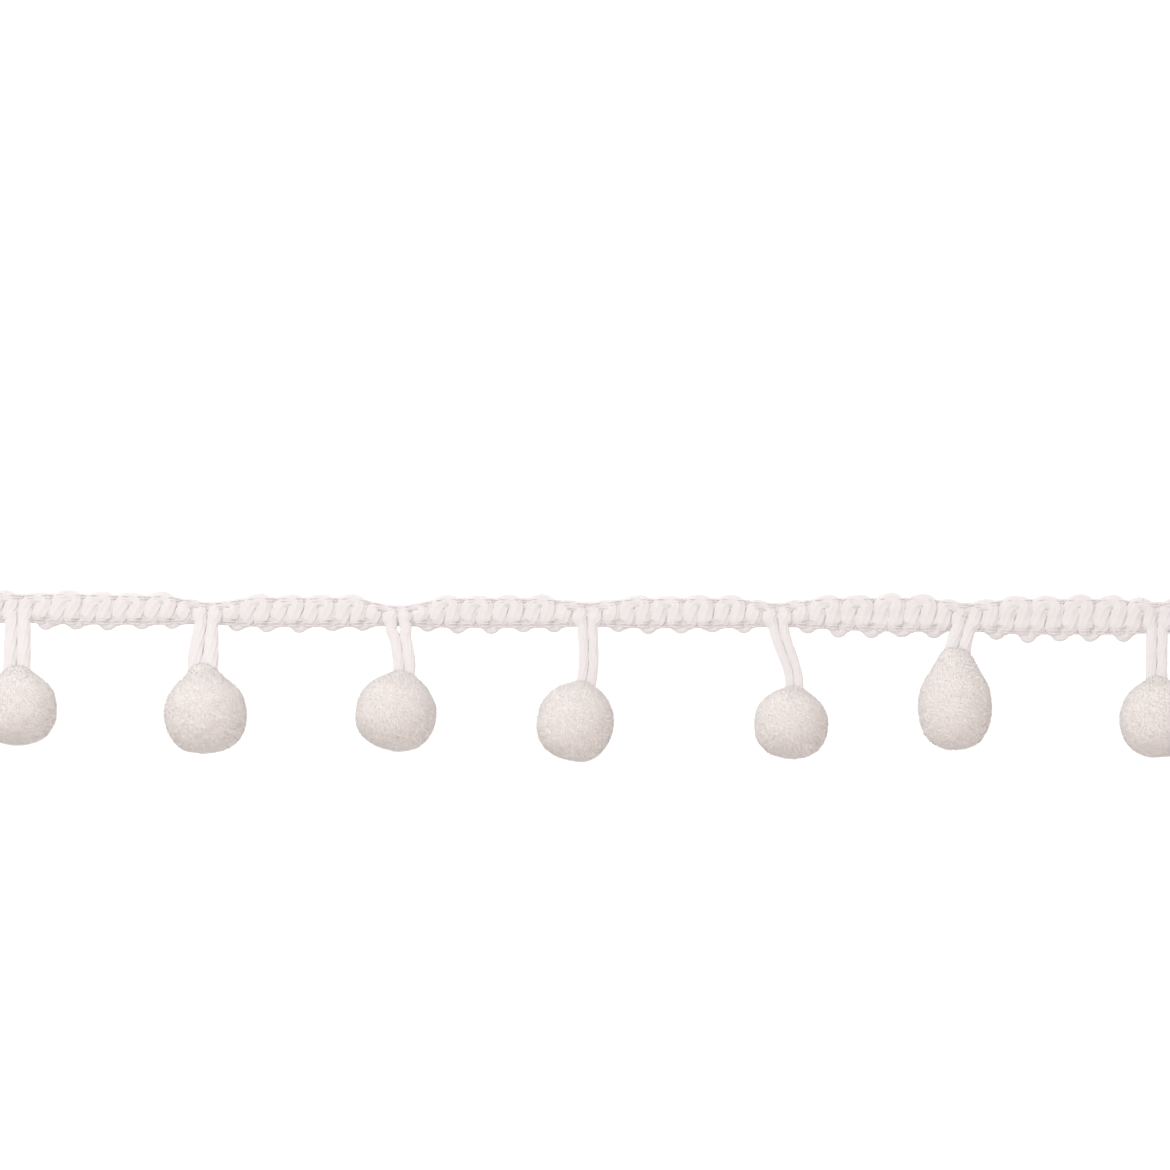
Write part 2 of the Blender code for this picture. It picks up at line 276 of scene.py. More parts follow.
def textile(finish):
    """A matt textile material: mottled colour, filament bump and a faint sheen."""
    material = bpy.data.materials.new(finish.name)
    material.use_nodes = True
    nodes, links = material.node_tree.nodes, material.node_tree.links
    shader = nodes["Principled BSDF"]
    shader.inputs["Roughness"].default_value = finish.roughness
    shader.inputs["Sheen Weight"].default_value = finish.sheen
    shader.inputs["Sheen Roughness"].default_value = SHEEN_ROUGHNESS
    shader.inputs["Specular IOR Level"].default_value = SPECULAR_LEVEL
    mottle = nodes.new("ShaderNodeGroup")
    mottle.node_tree = MOTTLE
    mottle.inputs["Colour"].default_value = finish.colour + (1,)
    mottle.inputs["Shade"].default_value = finish.shade + (1,)
    mottle.inputs["Cloud Scale"].default_value = finish.cloud
    mottle.inputs["Amount"].default_value = finish.amount
    grain = nodes.new("ShaderNodeGroup")
    grain.node_tree = GRAIN
    grain.inputs["Across"].default_value = finish.across
    grain.inputs["Follows Yarn"].default_value = finish.follows
    bump = nodes.new("ShaderNodeBump")
    bump.inputs["Distance"].default_value = finish.bump
    links.new(mottle.outputs["Colour"], shader.inputs["Base Color"])
    links.new(grain.outputs["Height"], bump.inputs["Height"])
    links.new(bump.outputs["Normal"], shader.inputs["Normal"])
    return material


MATERIALS = {finish.name: textile(finish) for finish in FINISHES}
print("materials:", ", ".join(MATERIALS))

# %% [markdown]
# ## Sizes
#
# The heading does not lie quite straight, is wider towards one end and is drawn in at each
# station. Its middle line, its width and the lean of its ribs come from a table of courses. A
# second table gives each pompom, in millimetres unless it says share or times:
#
# - station: its place, counted from the middle one
# - root, tie: how far aside the loop sets off, and is tied
# - leg, neck: half the width of a leg, and how many times wider it gets at the ball
# - window: what more the legs stand apart just below the heading
# - centre, drop: the ball's middle, aside and below the heading
# - half_width, half_length: half the ball's size across and along its loop
# - stretch: how much further than the ball's length it is tied, as a share of it
# - collar, top: half the width and the height of the pile round the legs, as shares of the ball
# - waist: how deep the upper edge is drawn in

# %% Sizes of the trim
RIB_PITCH = 2.025 * MM
TURN_PITCH = 2 * RIB_PITCH
TURNS_PER_STATION = 6
STATION_PITCH = TURNS_PER_STATION * TURN_PITCH
HEADING_TURNS = 40
HEADING_LENGTH = HEADING_TURNS * TURN_PITCH
WAIST_SPREAD = 3.3 * RIB_PITCH
LOWER_WAIST = 0.35 * MM

Course = namedtuple("Course", "x middle width lean")
HEADING_COURSE = (
    Course(-81.0, 0.86, 5.85, 0.34),
    Course(-56.0, 0.50, 4.95, 0.28),
    Course(-40.0, 0.24, 5.00, 0.24),
    Course(-10.0, 0.12, 5.00, 0.10),
    Course(25.0, 0.08, 5.10, 0.08),
    Course(40.0, -0.14, 5.90, 0.10),
    Course(60.0, -0.42, 6.30, 0.12),
    Course(81.0, -0.44, 6.30, 0.14),
)

Pompom = namedtuple(
    "Pompom",
    "station root tie leg neck window centre drop half_width half_length stretch collar top waist",
)
POMPOMS = (
    Pompom(-3, 0.2, 0.1, 0.86, 1.10, 0.0, 0.5, 11.7, 5.1, 4.9, 0.10, 0.38, 1.16, 0.5),
    Pompom(-2, -0.2, -0.5, 0.80, 1.34, 0.0, 0.0, 12.4, 5.5, 5.3, 0.12, 0.38, 1.27, 1.1),
    Pompom(-1, 0.1, 1.1, 0.74, 1.06, 0.32, 0.0, 12.3, 5.4, 5.0, 0.10, 0.36, 1.14, 1.5),
    Pompom(0, 0.0, 0.0, 0.69, 1.00, 0.0, -1.5, 13.5, 5.1, 5.2, 0.02, 0.34, 1.06, 0.8),
    Pompom(1, 0.1, 2.2, 0.70, 0.90, 0.0, 1.6, 13.7, 4.9, 4.6, 0.04, 0.34, 1.08, 0.9),
    Pompom(2, -1.0, -1.6, 0.80, 1.16, 0.0, -1.8, 11.6, 4.9, 5.8, 0.20, 0.56, 1.40, 0.9),
    Pompom(3, -0.1, -0.3, 0.74, 1.02, 0.0, -0.3, 13.1, 5.1, 5.1, 0.06, 0.36, 1.12, 0.6),
)
print("stations:", [round(row.station * STATION_PITCH / MM, 1) for row in POMPOMS], "mm")

# %% Middle line and edges
def eased(share):
    """0 to 1 with a gentle start and end."""
    held = min(max(share, 0.0), 1.0)
    return 0.5 - 0.5 * math.cos(math.pi * held)


def course(x):
    """The heading's middle line at a place along it, its width there and the lean of its ribs."""
    rows = HEADING_COURSE
    for row, following in zip(rows, rows[1:]):
        if x <= following.x * MM or following is rows[-1]:
            share = eased((x / MM - row.x) / (following.x - row.x))
            middle, width, lean = (a + (b - a) * share for a, b in zip(row[1:], following[1:]))
            return middle * MM, width * MM, lean


def edge(x, side):
    """Distance from the middle line to the outside of an edge turn, drawn in at a waist."""
    row = min(POMPOMS, key=lambda pompom: abs(x - pompom.station * STATION_PITCH))
    distance = abs(x - row.station * STATION_PITCH)
    depth = row.waist * MM if side > 0 else LOWER_WAIST
    return 0.5 * course(x)[1] - depth * (1.0 - eased(distance / WAIST_SPREAD))


print("upper edge at the middle station:", round(edge(0.0, 1) / MM, 2), "mm from the middle line")

# %% [markdown]
# ## Where the filling yarn runs
#
# The heading is one yarn laid in a meander: it crosses, turns at the upper edge, crosses back and
# turns at the lower edge. The upper turns are wide and flat and fill the edge; the lower ones are
# pulled tight and stand out as small teeth. A sine wave would make both edges alike, so a table of
# knots gives the yarn's way through half a turn, and a smooth line is drawn through the knots. A
# knot says how far along the half turn it is, how far across the heading, as a share of the way
# to the edge, and how thick the yarn is there.

# %% Knots of half a turn
Knot = namedtuple("Knot", "along across thick")
RIB_MIDDLE = Knot(0.50, 0.00, 1.06)
HALF_TURN = (
    Knot(0.00, 0.62, 0.80),
    Knot(0.20, 0.60, 0.83),
    Knot(0.37, 0.53, 0.92),
    Knot(0.475, 0.38, 1.02),
    RIB_MIDDLE,
    Knot(0.51, -0.33, 1.03),
    Knot(0.58, -0.49, 0.76),
    Knot(0.73, -0.62, 0.54),
    Knot(0.84, -0.72, 0.49),
    Knot(1.00, -0.76, 0.47),
)


def half_turn(share):
    """The yarn's way from an upper crown (0) to a lower crown (1), smooth through the knots."""
    before = Knot(-HALF_TURN[1].along, *HALF_TURN[1][1:])
    after = Knot(2.0 - HALF_TURN[-2].along, *HALF_TURN[-2][1:])
    knots = (before, *HALF_TURN, after)
    middle = HALF_TURN.index(RIB_MIDDLE)
    parts = middle if share < 0.5 else len(HALF_TURN) - 1 - middle
    step = min(middle + (2.0 * share - 1.0) * parts, len(HALF_TURN) - 1.001)
    t = step - int(step)
    a, b, c, d = knots[int(step):int(step) + 4]
    return Knot(*(
        q + 0.5 * t * (r - p + t * (2 * p - 5 * q + 4 * r - s + t * (3 * (q - r) + s - p)))
        for p, q, r, s in zip(a, b, c, d)
    ))


print("the yarn goes through", len(HALF_TURN), "knots in half a turn")

# %% [markdown]
# ## From knots to a yarn on the heading
#
# Laid exactly by the table, all turns would be alike. Three slow waves make the edge and the ribs
# a little uneven, as hand-guided yarn is. At a waist the yarn is squeezed thinner near the edge,
# and it is pinched a little under each wale, which is a row of stitches: a wale has its share of
# the way to the edge, its pinch and the height at which its stitches lie.

# %% Unevenness
WAVES = ((0.5, 4.1, 0.6), (0.3, 7.3, 0.0), (0.2, 11.9, 0.0))


def wander(x):
    """A small unevenness between -1 and 1 that changes slowly along the heading."""
    turn = x / TURN_PITCH
    return sum(height * math.sin(rate * turn + start) for height, rate, start in WAVES)


print("unevenness at the first five turns:", [round(wander(n * TURN_PITCH), 2) for n in range(5)])

# %% Path of the filling yarn
YarnPoint = namedtuple("YarnPoint", "place radius")
Wale = namedtuple("Wale", "share pinch height")
WALES = (
    Wale(-0.56, 0.04, 1.72 * MM),
    Wale(0.70, 0.03, 1.74 * MM),
)
WALE_REACH = 0.10
YARN_MIDDLE_HEIGHT = 0.95 * MM
POINTS_A_TURN = 96
FULL_EDGE = 2.5 * MM
LEAST_SQUEEZE = 0.5
MOST_SQUEEZE = 1.15
EDGE_SHARE = 0.6
UNEVEN_EDGE = 0.11
UNEVEN_RIB = 0.12 * MM
RIB_SHIFT = 0.4 * TURN_PITCH


def meander_point(x_start, turns):
    """The filling yarn a number of turns after the upper crown at x_start."""
    whole = math.floor(turns)
    share = 2.0 * (turns - whole)
    knot = half_turn(share if share <= 1.0 else 2.0 - share)
    along = knot.along if share <= 1.0 else 2.0 - knot.along
    x = x_start + (2.0 * whole + along) * RIB_PITCH
    middle, _, lean = course(x)
    room = edge(x, knot.across)
    near_edge = min(abs(knot.across) / EDGE_SHARE, 1.0)
    squeeze = 1.0 - near_edge * (1.0 - min(max(room / FULL_EDGE, LEAST_SQUEEZE), MOST_SQUEEZE))
    pinch = sum(w.pinch * math.exp(-(((knot.across - w.share) / WALE_REACH) ** 2)) for w in WALES)
    y = knot.across * room * (1.0 + UNEVEN_EDGE * wander(x) * near_edge)
    x += lean * y + UNEVEN_RIB * wander(x + RIB_SHIFT)
    return YarnPoint(Vector((x, middle + y, YARN_MIDDLE_HEIGHT)), knot.thick * squeeze - pinch)


def meander(x_start, first, last):
    """Points of the yarn from one turn count to another, counted from the crown at x_start."""
    count = int(round(POINTS_A_TURN * (last - first)))
    turns = [first + (last - first) * step / count for step in range(count + 1)]
    return [meander_point(x_start, turn) for turn in turns]


def path_length(points):
    """Length of the line through the points."""
    return sum((b.place - a.place).length for a, b in zip(points, points[1:]))


one_turn = meander(0.5 * TURN_PITCH, 0, 1)
print("one turn of filling yarn is", round(path_length(one_turn) / MM, 1), "mm long")

# %% [markdown]
# ## The yarn itself
#
# A yarn is a bundle of soft strands with a little twist. It could be a curve with a round bevel,
# but that gives a smooth pipe. Here one ring of points, with every third point pushed in, is the
# section with its strands. A Screw modifier draws the ring out into a straight twisted rope, its
# faces are pressed a little flat, and a Curve modifier lays the rope along its path. The curve's
# radius makes the yarn thinner where a stitch or a knot pulls it tight.

# %% Helpers for a piece
def apply_all(piece):
    """Apply every modifier of a piece, from first to last."""
    clear_selection()
    bpy.context.view_layer.objects.active = piece
    piece.select_set(True)
    for modifier in list(piece.modifiers):
        bpy.ops.object.modifier_apply(modifier=modifier.name)


def select_points(piece, wanted):
    """Select the points of a piece that a test wants, and stay in edit mode."""
    bpy.ops.object.mode_set(mode="EDIT")
    bpy.ops.mesh.select_all(action="DESELECT")
    bpy.ops.object.mode_set(mode="OBJECT")
    for vertex in piece.data.vertices:
        vertex.select = wanted(vertex)
    bpy.ops.object.mode_set(mode="EDIT")


def join(pieces, name):
    """Make one piece of several."""
    clear_selection()
    for piece in pieces:
        piece.select_set(True)
    bpy.context.view_layer.objects.active = pieces[0]
    bpy.ops.object.join()
    pieces[0].name = name
    return pieces[0]


def finish_piece(piece, slot, *nodes):
    """Give a finished piece its material and its body, and hide the solids it stands for; slot is
    not used.
    """
    if not piece.data.materials:
        piece.data.materials.append(MATERIALS["filling yarn"])
    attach(piece, "root")
    if nodes:
        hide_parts(*nodes)
    print(piece.name, len(piece.data.polygons), "faces")


# %% Draw out a straight yarn
YARN_HALF_WIDTH = 1.2 * MM
STRANDS = 9
POINTS_PER_STRAND = 3
GROOVE_DEPTH = 0.17
TWIST_LENGTH = 26.0 * MM
LEAST_RINGS = 6


def twisted_rope(name, length, start, ring_step):
    """Strands drawn out along X; start is how far along the yarn this stretch begins."""
    clear_selection()
    bpy.ops.mesh.primitive_circle_add(
        vertices=STRANDS * POINTS_PER_STRAND,
        radius=YARN_HALF_WIDTH,
        rotation=(0, math.pi / 2, 0),
    )
    bpy.ops.object.transform_apply(rotation=True)
    yarn = bpy.context.object
    yarn.name = name
    select_points(yarn, lambda vertex: vertex.index % POINTS_PER_STRAND == 0)
    bpy.ops.transform.resize(value=[1.0 - GROOVE_DEPTH] * 3, center_override=(0, 0, 0))
    bpy.ops.mesh.select_all(action="SELECT")
    bpy.ops.transform.rotate(
        value=-2.0 * math.pi * start / TWIST_LENGTH, orient_axis="X", center_override=(0, 0, 0)
    )
    bpy.ops.object.mode_set(mode="OBJECT")
    screw = yarn.modifiers.new("draw out", "SCREW")
    screw.axis = "X"
    screw.angle = 2.0 * math.pi * length / TWIST_LENGTH
    screw.screw_offset = length
    screw.steps = max(LEAST_RINGS, int(length / ring_step))
    screw.render_steps = screw.steps
    screw.use_merge_vertices = False
    apply_all(yarn)
    return yarn


print("a yarn has", STRANDS, "strands and one twist in", round(TWIST_LENGTH / MM), "mm")

# %% Press the yarn flat and close it
YARN_FLATNESS = 0.86
FACE_HEIGHT = 0.72 * MM
FACE_PRESS = 0.5


def press_and_close(yarn):
    """Make a rope a little flat, press its upper and lower faces, and close its two ends."""
    bpy.ops.object.mode_set(mode="EDIT")
    bpy.ops.mesh.select_all(action="SELECT")
    bpy.ops.transform.resize(value=(1, 1, YARN_FLATNESS), center_override=(0, 0, 0))
    for side in (-1, 1):
        select_points(yarn, lambda vertex: side * vertex.co.z > FACE_HEIGHT)
        press = (1, 1, FACE_PRESS)
        bpy.ops.transform.resize(value=press, center_override=(0, 0, side * FACE_HEIGHT))
    bpy.ops.mesh.select_all(action="SELECT")
    bpy.ops.mesh.fill_holes(sides=STRANDS * POINTS_PER_STRAND)
    bpy.ops.mesh.select_all(action="SELECT")
    bpy.ops.mesh.normals_make_consistent(inside=False)
    bpy.ops.object.mode_set(mode="OBJECT")


print("a full yarn is pressed where it is over", round(FACE_HEIGHT / MM, 2), "mm from its middle")

# %% Lay a yarn along its path
HEADING_RING_STEP = 0.15 * MM
LOOP_RING_STEP = 0.26 * MM
SMOOTH_ANGLE = math.radians(50)


def guide(points):
    """A curve through the points, with the yarn's thickness as its radius."""
    data = bpy.data.curves.new("guide", "CURVE")
    data.dimensions = "3D"
    data.twist_mode = "Z_UP"
    data.use_radius = True
    spline = data.splines.new("POLY")
    spline.points.add(len(points) - 1)
    for spot, point in zip(spline.points, points):
        spot.co = (*point.place, 1.0)
        spot.radius = point.radius
    curve = bpy.data.objects.new("guide", data)
    bpy.context.scene.collection.objects.link(curve)
    return curve


def keep_rest_place(yarn, start):
    """Remember each point's place on the straight yarn, for filaments that follow the yarn."""
    rest = yarn.data.attributes.new("along_yarn", "FLOAT_VECTOR", "POINT")
    for vertex, spot in zip(yarn.data.vertices, rest.data):
        spot.vector = vertex.co + Vector((start, 0, 0))


def lay_yarn(name, points, start, ring_step):
    """A twisted yarn along the points, which begins a length start along its twist."""
    yarn = twisted_rope(name, path_length(points), start, ring_step)
    press_and_close(yarn)
    keep_rest_place(yarn, start)
    curve = guide(points)
    bend = yarn.modifiers.new("lay", "CURVE")
    bend.object = curve
    bend.deform_axis = "POS_X"
    apply_all(yarn)
    bpy.data.objects.remove(curve, do_unlink=True)
    bpy.ops.object.shade_smooth_by_angle(angle=SMOOTH_ANGLE)
    return yarn


print("rings of points every", round(HEADING_RING_STEP / MM, 2), "mm in the heading")

# %% [markdown]
# ## Loops
#
# At a station the yarn comes down from an upper crown, runs out below the heading, goes round the
# middle of the pompom and comes back beside itself. The two legs are drawn together by the knot
# inside the pompom. A loop could be one straight tube, but the real legs leave the heading a rib
# apart, close up and bend on their way, so each follows a Bezier curve of its own.

# %% Frame of a pompom
REST_SHARE = 0.93
NECK_DIP = math.radians(17)


def pompom_frame(row):
    """Centre of a ball and its three directions: towards the loop, sideways, upwards."""
    station = row.station * STATION_PITCH
    rest = REST_SHARE * row.half_width * MM
    centre = Vector((station + row.centre * MM, -row.drop * MM, rest))
    reach = row.half_length * (1.0 + row.stretch) * MM
    tie = Vector((station + row.tie * MM, centre.y + reach, rest))
    level = (tie - centre).normalized()
    neck = level * math.cos(NECK_DIP) - Vector((0, 0, math.sin(NECK_DIP)))
    sideways = Vector((level.y, -level.x, 0.0))
    upwards = sideways.cross(neck)
    return centre, neck, sideways, upwards


middle_pompom = POMPOMS[len(POMPOMS) // 2]
print("middle pompom's centre:", [round(value / MM, 1) for value in pompom_frame(middle_pompom)[0]])

# %% One leg of a loop
STATION_RIB = 0.87
TAUT_FROM = 0.45 * MM
TAUT_OVER = 1.10 * MM
LEG_POINTS = 48
LOOP_PULL = 0.4
LEG_RISE = 0.35
LEG_TOUCH = 0.87
FLARE_RATE = 1.4
END_SHARE, END_STRETCH, END_DEPTH = 0.446, 0.2, 1.68
WINDOW_PLACE, WINDOW_REACH = 1.9, 0.7
SLOPE_STEP = 0.02


def curve_point(start, pulls, end, t):
    """A point of a Bezier curve."""
    weights = ((1 - t) ** 3, 3 * t * (1 - t) ** 2, 3 * t * t * (1 - t), t ** 3)
    return sum((w * p for w, p in zip(weights, (start, *pulls, end))), Vector())


def leg(row, side):
    """Points of one leg, from the heading's middle line into the pompom."""
    centre, neck, _, _ = pompom_frame(row)
    station = row.station * STATION_PITCH
    middle = course(station)[0]
    start = Vector((station, middle, YARN_MIDDLE_HEIGHT))
    depth = (END_SHARE * (1.0 + END_STRETCH * row.stretch) * row.half_length + END_DEPTH) * MM
    end = centre + neck * depth
    pull = LOOP_PULL * (end - start).length
    pulls = (start + Vector((row.root * MM, -pull, LEG_RISE * pull)), end + neck * pull)
    points = []
    for step in range(LEG_POINTS):
        t = step / (LEG_POINTS - 1)
        place = curve_point(start, pulls, end, t)
        before = curve_point(start, pulls, end, max(t - SLOPE_STEP, 0.0))
        after = curve_point(start, pulls, end, min(t + SLOPE_STEP, 1.0))
        level = Vector((0, 0, 1)).cross(after - before).normalized()
        below = middle - place.y
        taut = eased((below - TAUT_FROM) / TAUT_OVER)
        half_width = row.leg * MM * (1.0 + (row.neck - 1.0) * eased(FLARE_RATE * t))
        half_gap = 0.5 * RIB_PITCH + (LEG_TOUCH * half_width - 0.5 * RIB_PITCH) * taut
        window = math.exp(-(((below / MM - WINDOW_PLACE) / WINDOW_REACH) ** 2))
        half_gap += row.window * MM * window
        radius = STATION_RIB + (half_width / YARN_HALF_WIDTH - STATION_RIB) * taut
        points.append(YarnPoint(place + level * (side * half_gap), radius))
    return points


one_leg = leg(middle_pompom, 1)
print("one leg of the middle loop is", round(path_length(one_leg) / MM, 1), "mm long")

# %% The whole loop
BEND_POINTS = 10


def slimmed(points, crown):
    """The same points, thinner the further they are from the crown they start or end at."""
    reach = max(abs(point.place.x - crown) for point in points)
    slim = STATION_RIB / RIB_MIDDLE.thick
    return [
        YarnPoint(place, radius * (1.0 - (1.0 - slim) * abs(place.x - crown) / reach))
        for place, radius in points
    ]


def loop_points(row):
    """Down from the left crown, round the bend in the pompom and up to the right crown."""
    station = row.station * STATION_PITCH
    left = meander(station - 0.5 * TURN_PITCH, 0, 0.25)
    right = meander(station - 0.5 * TURN_PITCH, 0.75, 1)
    down, up = leg(row, -1), leg(row, 1)
    _, neck, _, _ = pompom_frame(row)
    middle = 0.5 * (down[-1].place + up[-1].place)
    out = down[-1].place - middle
    bend = []
    for step in range(1, BEND_POINTS):
        angle = math.pi * step / BEND_POINTS
        place = middle + out * math.cos(angle) - neck * (out.length * math.sin(angle))
        bend.append(YarnPoint(place, down[-1].radius))
    left = slimmed(left, left[0].place.x)
    right = slimmed(right, right[-1].place.x)
    return left + down[1:] + bend + up[1:][::-1] + right


one_loop = loop_points(middle_pompom)
print("the middle loop takes", round(path_length(one_loop) / MM, 1), "mm of yarn")

# %% [markdown]
# ## Heading yarn
#
# The yarn is laid from one end of the trim to the other, as on the machine: a stretch of meander,
# a loop, the next stretch. Each begins where the last one ended along its twist, so the strands
# run on. At a station the meander is left out between two upper crowns, because there the yarn
# belongs to the loop. The stretches of the heading are joined into one piece, and each loop stays
# a piece of its own, as its solid is.

# %% Lay the yarn from one end of the trim to the other
FIRST_CROWN = 0.5 * TURN_PITCH - 0.5 * HEADING_LENGTH
FIRST_TURN = -0.48
LAST_TURN = HEADING_TURNS - 0.52


def crown_before(row):
    """How many turns after the first upper crown the yarn leaves for a loop."""
    return (row.station * STATION_PITCH - 0.5 * TURN_PITCH - FIRST_CROWN) / TURN_PITCH


heading_runs = []
so_far = 0.0
run_start = FIRST_TURN
for number, row in enumerate(POMPOMS):
    points = meander(FIRST_CROWN, run_start, crown_before(row))
    heading_runs.append(lay_yarn("run", points, so_far, HEADING_RING_STEP))
    so_far += path_length(points)
    points = loop_points(row)
    loop_yarn = lay_yarn(f"loop_yarn_{number + 1}", points, so_far, LOOP_RING_STEP)
    finish_piece(loop_yarn, "loop_yarn", f"loop_{number + 1}")
    so_far += path_length(points)
    run_start = crown_before(row) + 1
points = meander(FIRST_CROWN, run_start, LAST_TURN)
heading_runs.append(lay_yarn("run", points, so_far, HEADING_RING_STEP))
print("filling yarn in the whole trim:", round(so_far + path_length(points), 3), "m")

# %% [markdown]
# ## Ground cords
#
# Under the ribs lie straight threads that the filling yarn is laid over. Only glimpses of them
# show between the ribs, but without them the grooves would be dark holes. Five of the same ropes,
# much thinner, run along the heading. Each follows its own share of the width and sinks where the
# heading is drawn in, so that it stays under the ribs.

# %% Lay the ground cords
GroundCord = namedtuple("GroundCord", "share thick height")
GROUND_CORDS = (
    GroundCord(-0.50, 0.44, 0.98 * MM),
    GroundCord(-0.25, 0.54, 1.00 * MM),
    GroundCord(0.10, 0.50, 0.86 * MM),
    GroundCord(0.42, 0.50, 1.02 * MM),
    GroundCord(0.66, 0.38, 1.02 * MM),
)
CORD_RING_STEP = 0.8 * MM
CORD_POINTS_A_TURN = 8
CORD_SINK = 0.22

for row in GROUND_CORDS:
    cord = []
    for step in range(CORD_POINTS_A_TURN * HEADING_TURNS + 1):
        x = TURN_PITCH * step / CORD_POINTS_A_TURN - 0.5 * HEADING_LENGTH
        room = edge(x, row.share)
        height = row.height - CORD_SINK * max(FULL_EDGE - room, 0.0)
        cord.append(YarnPoint(Vector((x, course(x)[0] + row.share * room, height)), row.thick))
    heading_runs.append(lay_yarn("ground cord", cord, 0.0, CORD_RING_STEP))
heading_yarn = join(heading_runs, "heading_yarn")
finish_piece(heading_yarn, "heading_yarn", "heading")

# %% [markdown]
# ## Chain stitches
#
# Two rows of fine chain stitches run along the heading, one near each edge, and hold the filling
# yarn. Each stitch is a small closed loop that arches over one rib and dips between two. An Array
# could repeat it evenly, but the ribs aren't even: one link is bent from a torus, and a copy is
# set on every rib, turned along the row and sunk where the heading is drawn in.

# %% One chain link
THREAD_RADIUS = 0.075 * MM
LINK_HALF_WIDTH = 0.20 * MM
LINK_STRETCH = 0.84 * MM
LINK_DIP = 0.30 * MM
CUT_PITCH = 0.28 * MM
CUTS_PER_SIDE = 3
DIP_REACH = 1.68 * MM
CUT_SHARE = 0.33
TAIL_DROP = 0.12 * MM
TAIL_WIDTH = 0.45
A_TOUCH = 0.01 * MM


def chain_link():
    """One stitch: a torus made long, its tail narrowed and both ends sunk between the ribs."""
    clear_selection()
    bpy.ops.mesh.primitive_torus_add(
        major_radius=LINK_HALF_WIDTH, minor_radius=THREAD_RADIUS,
        major_segments=12, minor_segments=5,
    )
    link = bpy.context.object
    for side in (-1, 1):
        select_points(link, lambda vertex: side * vertex.co.x > A_TOUCH)
        bpy.ops.transform.translate(value=(side * LINK_STRETCH, 0, 0))
        bpy.ops.object.mode_set(mode="OBJECT")
    bpy.ops.object.mode_set(mode="EDIT")
    cuts = [CUT_PITCH * step for step in range(-CUTS_PER_SIDE, CUTS_PER_SIDE + 1)]
    for cut in cuts:
        bpy.ops.mesh.select_all(action="SELECT")
        bpy.ops.mesh.bisect(plane_co=(cut, 0, 0), plane_no=(1, 0, 0))
    for cut in cuts:
        if cut < 0:
            select_points(link, lambda vertex: vertex.co.x < cut + A_TOUCH)
            narrow = (1, TAIL_WIDTH ** CUT_SHARE, 1)
            bpy.ops.transform.resize(value=narrow, center_override=(0, 0, 0))
            bpy.ops.transform.translate(value=(0, 0, -CUT_SHARE * TAIL_DROP))
        for side in (-1, 1):
            if side * cut > 0:
                select_points(link, lambda vertex: side * vertex.co.x > side * cut - A_TOUCH)
                bpy.ops.transform.translate(value=(0, 0, -LINK_DIP * abs(cut) / DIP_REACH))
    bpy.ops.object.mode_set(mode="OBJECT")
    return link


link = chain_link()
print("one chain link has", len(link.data.polygons), "faces")

# %% Stitch the two rows
LINK_SINK = 0.9 * MM

links = []
for wale in WALES:
    for rib in range(2 * HEADING_TURNS):
        x = (rib + 0.5) * RIB_PITCH - 0.5 * HEADING_LENGTH
        middle, _, lean = course(x)
        room = edge(x, wale.share)
        before, after = (
            course(x + step)[0] + wale.share * edge(x + step, wale.share)
            for step in (-0.5 * RIB_PITCH, 0.5 * RIB_PITCH)
        )
        sink = LINK_SINK * abs(wale.share) * (1.0 - min(room / FULL_EDGE, 1.0))
        copy = link.copy()
        copy.data = link.data.copy()
        bpy.context.scene.collection.objects.link(copy)
        y = wale.share * room
        copy.location = (x + lean * y, middle + y, wale.height - sink)
        copy.rotation_euler = (0, 0, math.atan((after - before) / RIB_PITCH))
        links.append(copy)
bpy.data.objects.remove(link, do_unlink=True)
chain_stitches = join(links, "chain_stitches")
bpy.ops.object.transform_apply(location=True, rotation=True, scale=True)
bpy.ops.object.shade_smooth()
chain_stitches.data.materials.append(MATERIALS["stitch thread"])
finish_piece(chain_stitches, "heading_yarn")

# %% [markdown]
# ## Pompoms
#
# A pompom is a bundle of cut yarn tied in the middle and trimmed into a ball, so its surface is a
# dense pile of fibre ends. The ball's body is a sphere that is moved ring by ring: squarer below,
# drawn up into a narrow collar where the pile stands round the legs of its loop, and pressed flat
# where it lies on the table. A ring that is done is lifted far out of the way, so that it isn't
# picked again with one that has its old height, and in the end the whole ball is brought down.
#
# Blender adds a sphere with its faces in another order each time, and the pile is planted face by
# face. So the faces are first sorted by their distance from a far point that lies in no plane of
# symmetry, which gives the same pompom in every run.

# %% Faces in the same order each time
SORTING_POINT = (3.1, 5.7, 9.3)


def sort_faces(piece):
    """Put the faces in an order that is the same in every run, by distance from a far point."""
    cursor = bpy.context.scene.cursor
    cursor.location = SORTING_POINT
    bpy.ops.object.mode_set(mode="EDIT")
    bpy.ops.mesh.select_all(action="SELECT")
    bpy.ops.mesh.sort_elements(type="CURSOR_DISTANCE", elements={"EDGE", "FACE"})
    bpy.ops.object.mode_set(mode="OBJECT")
    cursor.location = (0, 0, 0)


print("faces are sorted by their distance from", SORTING_POINT)

# %% Rings of a ball
SQUARED = 0.03
COLLAR_STEEPNESS = 6
LIFTED = 10.0
SAME_HEIGHT = 1e-4


